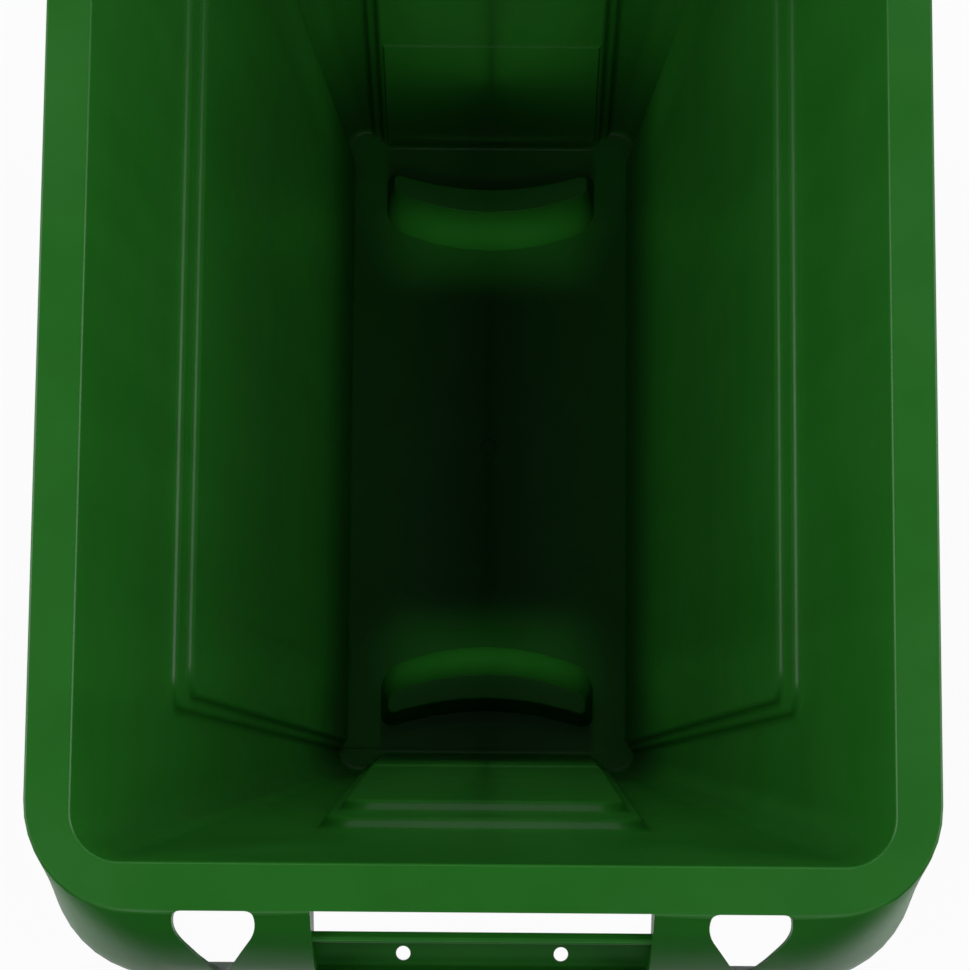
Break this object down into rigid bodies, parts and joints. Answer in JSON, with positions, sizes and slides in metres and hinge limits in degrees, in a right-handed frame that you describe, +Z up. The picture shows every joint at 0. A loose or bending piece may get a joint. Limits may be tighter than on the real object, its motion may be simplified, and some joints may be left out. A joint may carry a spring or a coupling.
{
  "type": "waste receptacle",
  "caption": "Tall narrow moulded waste bin, open at the top, with flared end handles, bag cinches, corner venting channels and grips under its base.",
  "frame": {"origin": "centre of the base on the floor", "axes": "+Z up; X across the narrow width; Y along the length, -Y is the end nearest the camera in the picture"},
  "size_m": [0.2794, 0.5588, 0.762],
  "materials": {
    "green_plastic": "satin"
  },
  "bodies": {
    "root": {"cinch_plate_front_left": "green_plastic", "cinch_plate_front_right": "green_plastic", "cinch_plate_rear_left": "green_plastic", "cinch_plate_rear_right": "green_plastic", "finger_trough_front": "green_plastic", "finger_trough_rear": "green_plastic", "floor_grip_front": "green_plastic", "floor_grip_rear": "green_plastic", "floor_plate": "green_plastic", "foot_front": "green_plastic", "foot_left": "green_plastic", "foot_rear": "green_plastic", "foot_right": "green_plastic", "front_panel": "green_plastic", "front_upper_wall": "green_plastic", "hand_hole_web_front_left": "green_plastic", "hand_hole_web_front_right": "green_plastic", "hand_hole_web_rear_left": "green_plastic", "hand_hole_web_rear_right": "green_plastic", "left_panel": "green_plastic", "left_upper_wall": "green_plastic", "rear_panel": "green_plastic", "rear_upper_wall": "green_plastic", "right_panel": "green_plastic", "right_upper_wall": "green_plastic", "rim_corner_front_left": "green_plastic", "rim_corner_front_right": "green_plastic", "rim_corner_rear_left": "green_plastic", "rim_corner_rear_right": "green_plastic", "rim_flange_left": "green_plastic", "rim_flange_right": "green_plastic", "rim_front": "green_plastic", "rim_left": "green_plastic", "rim_rear": "green_plastic", "rim_right": "green_plastic", "skirt_corner_front_left": "green_plastic", "skirt_corner_front_right": "green_plastic", "skirt_corner_rear_left": "green_plastic", "skirt_corner_rear_right": "green_plastic", "vent_channel_front_left": "green_plastic", "vent_channel_front_right": "green_plastic", "vent_channel_rear_left": "green_plastic", "vent_channel_rear_right": "green_plastic"}
  },
  "joints": []
}
